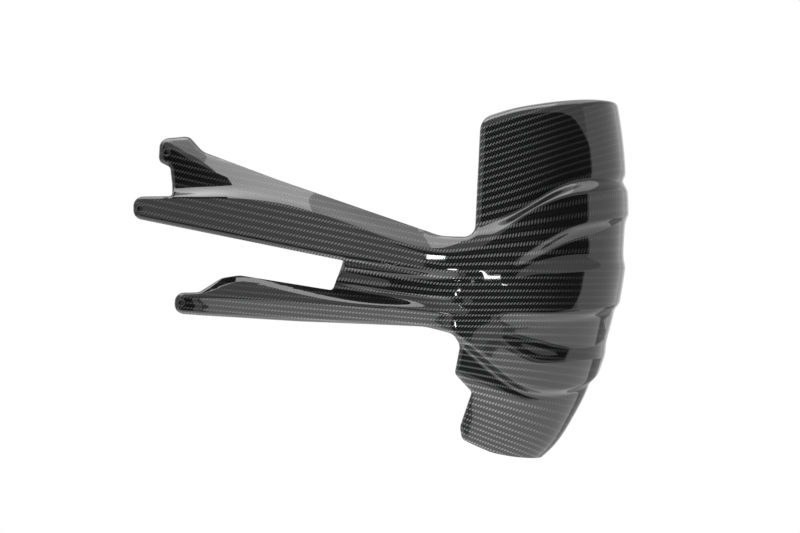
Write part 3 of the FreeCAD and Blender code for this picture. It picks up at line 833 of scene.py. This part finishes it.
class Value:
    """A shader socket that takes part in Python expressions."""

    def __init__(self, tree, socket=None):
        self.tree = tree
        self.socket = socket

    def node(self, kind, settings=None, inputs=None, output=0):
        """Adds a node, sets it, feeds its inputs and returns one of its outputs."""
        node = self.tree.nodes.new(kind)
        for key, value in (settings or {}).items():
            setattr(node, key, value)
        for key, value in (inputs or {}).items():
            if isinstance(value, Value):
                self.tree.links.new(value.socket, node.inputs[key])
            else:
                node.inputs[key].default_value = value
        return Value(self.tree, node.outputs[output])

    def feed(self, shader, name):
        """Links this value to a socket of the surface shader."""
        self.tree.links.new(self.socket, shader.inputs[name])

    def math(self, operation, *others):
        return self.node("ShaderNodeMath", {"operation": operation}, dict(enumerate((self,) + others)))

    def __add__(self, other):
        return self.math("ADD", other)

    def __radd__(self, other):
        return self.math("ADD", other)

    def __sub__(self, other):
        return self.math("SUBTRACT", other)

    def __rsub__(self, other):
        return self.node("ShaderNodeMath", {"operation": "SUBTRACT"}, {0: other, 1: self})

    def __mul__(self, other):
        return self.math("MULTIPLY", other)

    def __rmul__(self, other):
        return self.math("MULTIPLY", other)

    def part(self, axis):
        """One part of a vector."""
        return self.node("ShaderNodeSeparateXYZ", None, {0: self}, axis)

    def between(self, low, high):
        """Rises smoothly from 0 to 1 between two values."""
        return self.node("ShaderNodeMapRange", {"interpolation_type": "SMOOTHSTEP"},
                         {"Value": self, "From Min": low, "From Max": high})

    def noise(self, scale, detail, dimensions="3D"):
        return self.node("ShaderNodeTexNoise", {"noise_dimensions": dimensions},
                         {"Vector": self, "Scale": scale, "Detail": detail})

    def blend(self, first, second):
        """A colour between two others, by this value."""
        inputs = {MIX_FACTOR: self, MIX_FIRST: colour(first), MIX_SECOND: colour(second)}
        return self.node("ShaderNodeMix", {"data_type": "RGBA"}, inputs, MIX_RESULT)

    def bump(self, strength, distance):
        """A normal that is tilted by this value as a height."""
        inputs = {"Strength": strength, "Distance": distance, "Height": self}
        return self.node("ShaderNodeBump", None, inputs)


def colour(values):
    return (values[0], values[1], values[2], 1.0)


def new_material(name):
    """A node material, the start of its expressions and its surface shader."""
    material = bpy.data.materials.new(name)
    material.use_nodes = True
    start = Value(material.node_tree)
    shader = material.node_tree.nodes["Principled BSDF"]
    return material, start, shader


# Carbon weave with a painted glint on its tows, with places along the ribs in metres from the fold

# Height left at a tow's ends, and the weft's share of the painted glint
TOW_END = 0.35
WEFT_SHARE = 0.1
# Part of a tow's rounding and bow over which its painted glint shows
DASH_SPAN = (0.35, 1.0)
# Painted glint of the tows at the tips of the arms, and what is added along the arms and towards the palm
TIP_GLINT = 0.2
ARM_GLINT = 0.25
ARM_SPAN = (-200 * MM, -80 * MM)
PALM_GLINT = 0.2
PALM_SPAN = (-50 * MM, 20 * MM)
# The painted glint fades as the side wall turns, and comes back on the tread
TURN_GLINT_FADE = 0.88
TURN_SPAN = (35 * MM, 105 * MM)
TREAD_SPAN = (165 * MM, 200 * MM)
# The painted glint fades on faces that look up
UPWARD_GLINT_FADE = 0.65
UPWARD_SPAN = (0.25, 0.6)
# Threads and broad patches: their scale, and how far they spread the painted glint at random
THREADS = (900.0, 0.6)
PATCHES = (14.0, 0.4)
# Tows with painted glint turn to metal and grow smoother, and all tows stand proud
TOW_METAL = 0.9
TOW_ROUGH = 0.5
TOW_SMOOTHER = 0.15
TOW_RELIEF = (0.35, 0.2 * MM)
# Sheen under the coat, then the coat
CARBON_CONSTANTS = {
    "Specular IOR Level": 0.03,
    "Coat Weight": 1.0,
    "Coat Roughness": 0.03,
    "Coat IOR": 1.5,
}


def twill(along_rib, across_rib, tow):
    """Twill of two over two: where the warp is on top, the tow's rounding across and its bow along."""
    scale = 1 / (math.sqrt(2) * tow)
    warp = (along_rib + across_rib) * scale
    weft = (across_rib - along_rib) * scale
    warp_cell = warp.math("FLOOR")
    weft_cell = weft.math("FLOOR")
    turn = (warp_cell + weft_cell).math("FLOORED_MODULO", 4.0)
    over = turn.math("LESS_THAN", 1.5)
    warp_part = warp - warp_cell
    weft_part = weft - weft_cell
    across = over * (weft_part - 0.5) + (1 - over) * (warp_part - 0.5)
    run = over * (turn + warp_part) * 0.5 + (1 - over) * (turn - 2.0 + weft_part) * 0.5
    round_tow = 1 - 4 * across * across
    bow = 4 * run * (1 - run)
    return over, round_tow, bow


def uneven(cloth, scale, spread):
    """Random variation of the painted glint over the cloth, by a spread about 1."""
    return (1 - 0.5 * spread) + spread * cloth.noise(scale, 1.0, "2D")


def carbon_weave(finish):
    """Twill of carbon tows under a clear gloss coat, with a painted glint on the tow crowns in their colour
    and metal.
    """
    material, start, shader = new_material("carbon_weave")
    cloth = start.node("ShaderNodeUVMap", {"uv_map": "cloth"})
    along_rib = cloth.part(0)
    over, round_tow, bow = twill(along_rib, cloth.part(1), finish.tow)
    dash = (round_tow * bow.math("SQRT")).between(*DASH_SPAN)
    on_arm = along_rib.between(*ARM_SPAN)
    on_palm = along_rib.between(*PALM_SPAN)
    turned = along_rib.between(*TURN_SPAN) * (1 - along_rib.between(*TREAD_SPAN))
    upward = start.node("ShaderNodeTexCoord", output="Normal").part(2).between(*UPWARD_SPAN)
    # Painted glint strength by place, weaker where the wall turns and on faces that look up
    glint_by_place = TIP_GLINT + ARM_GLINT * on_arm + PALM_GLINT * on_palm
    strength = glint_by_place * (1 - TURN_GLINT_FADE * turned) * (1 - UPWARD_GLINT_FADE * upward)
    # Painted glint on the crowns of the tows, with the weft getting a small share
    lit = (WEFT_SHARE + (1 - WEFT_SHARE) * over) * dash * strength
    light = lit * uneven(cloth, *THREADS) * uneven(cloth, *PATCHES)
    # The painted glint lightens the near-black carbon and makes its tows metallic
    light.blend(finish.dark_tow, finish.painted_tow_glint).feed(shader, "Base Color")
    (TOW_METAL * light).feed(shader, "Metallic")
    (TOW_ROUGH - TOW_SMOOTHER * dash).feed(shader, "Roughness")
    height = round_tow * (TOW_END + (1 - TOW_END) * bow)
    height.bump(*TOW_RELIEF).feed(shader, "Normal")
    for name, value in CARBON_CONSTANTS.items():
        shader.inputs[name].default_value = value
    return material


# Dull resin: scale of its grain and clouds, its darker share, its roughness and its relief
RESIN_GRAIN = 420.0
RESIN_CLOUDS = 26.0
RESIN_DARKER = 0.55
RESIN_ROUGH = 0.45
RESIN_ROUGHER = 0.2
RESIN_RELIEF = (0.25, 0.2 * MM)


def dull_resin(finish):
    """Inside of the laminate and its cut edges: rough, cloudy resin with a fine grain."""
    material, start, shader = new_material("dull_resin")
    place = start.node("ShaderNodeTexCoord", output="Object")
    grain = place.noise(RESIN_GRAIN, 2.0)
    clouds = place.noise(RESIN_CLOUDS, 2.0)
    darker = [RESIN_DARKER * part for part in finish.resin]
    (0.5 * grain + 0.5 * clouds).blend(darker, finish.resin).feed(shader, "Base Color")
    (RESIN_ROUGH + RESIN_ROUGHER * grain).feed(shader, "Roughness")
    grain.bump(*RESIN_RELIEF).feed(shader, "Normal")
    return material


# Insert metal: scale of its marks, and its roughness
METAL_MARKS = 2500.0
METAL_ROUGH = 0.3
METAL_ROUGHER = 0.25


def insert_metal(finish):
    """Blackened metal with fine marks."""
    material, start, shader = new_material("dark_metal")
    place = start.node("ShaderNodeTexCoord", output="Object")
    marks = place.noise(METAL_MARKS, 2.0)
    marks.blend(finish.dark_metal, finish.light_metal).feed(shader, "Base Color")
    (METAL_ROUGH + METAL_ROUGHER * marks).feed(shader, "Roughness")
    shader.inputs["Metallic"].default_value = 1.0
    return material


# Stage, in metres

# Camera beside the guard, and its sensor in millimetres
CAMERA_X = 0.195
CAMERA_Z = -0.0435
CAMERA_REACH = 100.0
SENSOR = 36.0
FLOOR_SIZE = 3.0
FLOOR_PLACE = (0.2, 0.0, -0.5)
FLOOR_ROUGH = 0.9
# Part of the room's light that matt surfaces do not get
ROOM_DIMMING = 0.65
# Dark cards: name, span in x, depth, span in z and how far the upper edge reaches back
CARD_Y = -1.6
PAD_CARD_Y = -0.03
CARDS = (
    ("shell_card", (0.235, 1.95), CARD_Y, (-0.36, 0.4), 0.0),
    ("palm_card", (-0.42, 0.235), CARD_Y, (-0.36, -0.062), 0.0),
    ("pad_card", (0.01, 0.062), PAD_CARD_Y, (0.034, 0.062), 0.0),
    ("pad_hood", (0.01, 0.062), PAD_CARD_Y, (0.062, 0.062), -PAD_CARD_Y),
)
# Soft lamps: name, place, the way each looks, width and height, radiance
SOFTBOXES = (
    ("arm_softbox", (-0.12, 0.05, 1.0), (0.0, 0.0, -1.0), (0.96, 1.0), 4.6),
    ("shell_softbox", (0.64, 0.05, 1.0), (0.0, 0.0, -1.0), (0.56, 1.0), 2.0),
    ("low_softbox", (0.5, -0.4, -0.48), (0.0, 0.0, 1.0), (2.4, 1.4), 1.55),
    ("side_softbox", (1.7, 0.0, 0.1), (-1.0, 0.0, 0.0), (2.9, 1.4), 0.5),
)
# Small bright lamps before the fold and the palm: x, z, width and height
GLINT_Y = -0.3
GLINT_LOOKS = (0.0, 1.0, 0.0)
GLINT_RADIANCE = 40.0
GLINTS = (
    (0.228, -0.0342, 0.0165, 0.0045),
    (0.243, -0.0525, 0.0083, 0.008),
    (0.190, -0.064, 0.012, 0.0012),
    (0.1754, -0.0677, 0.008, 0.0014),
    (0.173, -0.1242, 0.0094, 0.0075),
    (0.2803, -0.0535, 0.024, 0.002),
)


def build_floor(look):
    """A pale floor below the guard, out of the camera's sight."""
    deselect_all()
    bpy.ops.mesh.primitive_plane_add(size=FLOOR_SIZE, location=FLOOR_PLACE)
    floor = bpy.context.object
    name_piece(floor, "floor")
    bpy.ops.object.transform_apply(location=True, rotation=True, scale=True)
    material, _, shader = new_material("pale_paper")
    shader.inputs["Base Color"].default_value = colour(look.pale)
    shader.inputs["Roughness"].default_value = FLOOR_ROUGH
    floor.data.materials.append(material)


def dark_cloth(look):
    """Black cloth for the cards."""
    material, _, shader = new_material("dark_cloth")
    shader.inputs["Base Color"].default_value = colour(look.dark)
    shader.inputs["Roughness"].default_value = 1.0
    shader.inputs["Specular IOR Level"].default_value = 0.0
    return material


def add_card(name, across, depth, up, reach, material):
    """A dark card before the guard, upright or flat, that is seen only in the guard's gloss."""
    corners = [(across[0], depth, up[0]), (across[1], depth, up[0]),
               (across[1], depth + reach, up[1]), (across[0], depth + reach, up[1])]
    mesh = bpy.data.meshes.new(name)
    mesh.from_pydata(corners, [], [(0, 1, 2, 3)])
    card = bpy.data.objects.new(name, mesh)
    bpy.context.scene.collection.objects.link(card)
    card.visible_camera = False
    card.visible_diffuse = False
    card.visible_shadow = False
    card.data.materials.append(material)


def add_lamp(name, place, looks, spread, radiance):
    """A rectangular soft lamp of even radiance, out of the camera's sight."""
    data = bpy.data.lights.new(name, "AREA")
    data.shape = "RECTANGLE"
    data.size = spread[0]
    data.size_y = spread[1]
    data.energy = radiance * math.pi * spread[0] * spread[1]
    lamp = bpy.data.objects.new(name, data)
    bpy.context.scene.collection.objects.link(lamp)
    lamp.location = place
    lamp.rotation_euler = Vector(looks).to_track_quat("-Z", "Y").to_euler()
    lamp.visible_camera = False


def set_world(scene):
    """Even white light from all round, dimmed for matt surfaces."""
    world = bpy.data.worlds.new("room")
    world.use_nodes = True
    scene.world = world
    start = Value(world.node_tree)
    diffuse_ray = start.node("ShaderNodeLightPath", output="Is Diffuse Ray")
    background = world.node_tree.nodes["Background"]
    background.inputs["Color"].default_value = (1.0, 1.0, 1.0, 1.0)
    (1.0 - ROOM_DIMMING * diffuse_ray).feed(background, "Strength")


def set_camera(scene, look):
    """A camera square to the front plate."""
    data = bpy.data.cameras.new("camera")
    camera = bpy.data.objects.new("camera", data)
    scene.collection.objects.link(camera)
    camera.location = (CAMERA_X, -look.camera_distance, CAMERA_Z)
    camera.rotation_euler = (math.pi / 2, 0, 0)
    data.sensor_width = SENSOR
    data.lens = SENSOR * look.camera_distance / look.view_width
    data.clip_end = CAMERA_REACH
    scene.camera = camera


# Operators


class GUARD_OT_skin(bpy.types.Operator):
    """Lays the carbon skin, gives it its wall, trims it to the outline and drills the bolt holes"""

    bl_idname = "guard.skin"
    bl_label = "Carbon skin"

    def execute(self, context):
        sizes = context.scene.guard_sizes
        finish = context.scene.guard_finish
        skin = lay_skin(sizes)
        skin.data.materials.append(carbon_weave(finish))
        skin.data.materials.append(dull_resin(finish))
        apply_modifier(skin, "curve", "SUBSURF", levels=sizes.fineness, render_levels=sizes.fineness)
        cutter = outline_cutter(sizes.shell_width + CUTTER_SPARE)
        walls = BVHTree.FromObject(cutter, context.evaluated_depsgraph_get())
        apply_modifier(skin, "wall", "SOLIDIFY", thickness=sizes.laminate, offset=-1.0,
                       use_even_offset=True, material_offset=1, material_offset_rim=1)
        cut(skin, cutter, "INTERSECT")
        refine_edges(skin, walls, sizes.edge_roll)
        roll_edges(skin, walls, sizes.edge_roll)
        for _, x, _, z in BOLTS:
            drill = rod_along_y(0.5 * sizes.bolt_hole, DRILL_LENGTH, (x * MM, 0.0, z * MM))
            cut(skin, drill, "DIFFERENCE")
        select_only(skin)
        bpy.ops.object.shade_smooth_by_angle(angle=SKIN_SHARP)
        if len(skin.data.polygons) < FEWEST_FACES:
            raise RuntimeError("the skin was lost while it was trimmed")
        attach(skin, "root")
        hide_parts("splash_guard")
        return {"FINISHED"}


class GUARD_OT_inserts(bpy.types.Operator):
    """Seats a blind insert in each bolt hole"""

    bl_idname = "guard.inserts"
    bl_label = "Bolt inserts"

    def execute(self, context):
        sizes = context.scene.guard_sizes
        metal = insert_metal(context.scene.guard_finish)
        for name, x, y, z in BOLTS:
            insert = blind_insert(name, Vector((x, y, z)) * MM, sizes)
            insert.data.materials.append(metal)
            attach(insert, "root")
        return {"FINISHED"}


class GUARD_OT_stage(bpy.types.Operator):
    """Sets the pale floor, the dark cards, the soft lamps, the white room and the camera"""

    bl_idname = "guard.stage"
    bl_label = "Stage"

    def execute(self, context):
        scene = context.scene
        look = scene.guard_stage
        scene.view_settings.view_transform = "Standard"
        build_floor(look)
        cloth = dark_cloth(look)
        for card in CARDS:
            add_card(*card, cloth)
        for softbox in SOFTBOXES:
            add_lamp(*softbox)
        for number, (x, z, width, height) in enumerate(GLINTS):
            name = "glint_%d" % number
            add_lamp(name, (x, GLINT_Y, z), GLINT_LOOKS, (width, height), GLINT_RADIANCE)
        set_world(scene)
        set_camera(scene, look)
        return {"FINISHED"}


class GUARD_PT_panel(bpy.types.Panel):
    """Lists the guard's sizes, finish and steps"""

    bl_idname = "GUARD_PT_panel"
    bl_label = "Splash guard"
    bl_space_type = "VIEW_3D"
    bl_region_type = "UI"
    bl_category = "Guard"

    def draw(self, context):
        layout = self.layout
        scene = context.scene
        for group in (scene.guard_sizes, scene.guard_finish, scene.guard_stage):
            box = layout.box()
            for key in group.bl_rna.properties.keys():
                if key not in ("rna_type", "name"):
                    box.prop(group, key)
        layout.operator("guard.skin")
        layout.operator("guard.inserts")
        layout.operator("guard.stage")


CLASSES = (GuardSizes, GuardFinish, StageLook, GUARD_OT_skin, GUARD_OT_inserts, GUARD_OT_stage,
           GUARD_PT_panel)


def register():
    for item in CLASSES:
        bpy.utils.register_class(item)
    bpy.types.Scene.guard_sizes = bpy.props.PointerProperty(type=GuardSizes)
    bpy.types.Scene.guard_finish = bpy.props.PointerProperty(type=GuardFinish)
    bpy.types.Scene.guard_stage = bpy.props.PointerProperty(type=StageLook)


def unregister():
    del bpy.types.Scene.guard_stage
    del bpy.types.Scene.guard_finish
    del bpy.types.Scene.guard_sizes
    for item in reversed(CLASSES):
        bpy.utils.unregister_class(item)


def main():
    register()
    bpy.ops.guard.skin()
    bpy.ops.guard.inserts()
    bpy.ops.guard.stage()


if __name__ == "__main__":
    main()
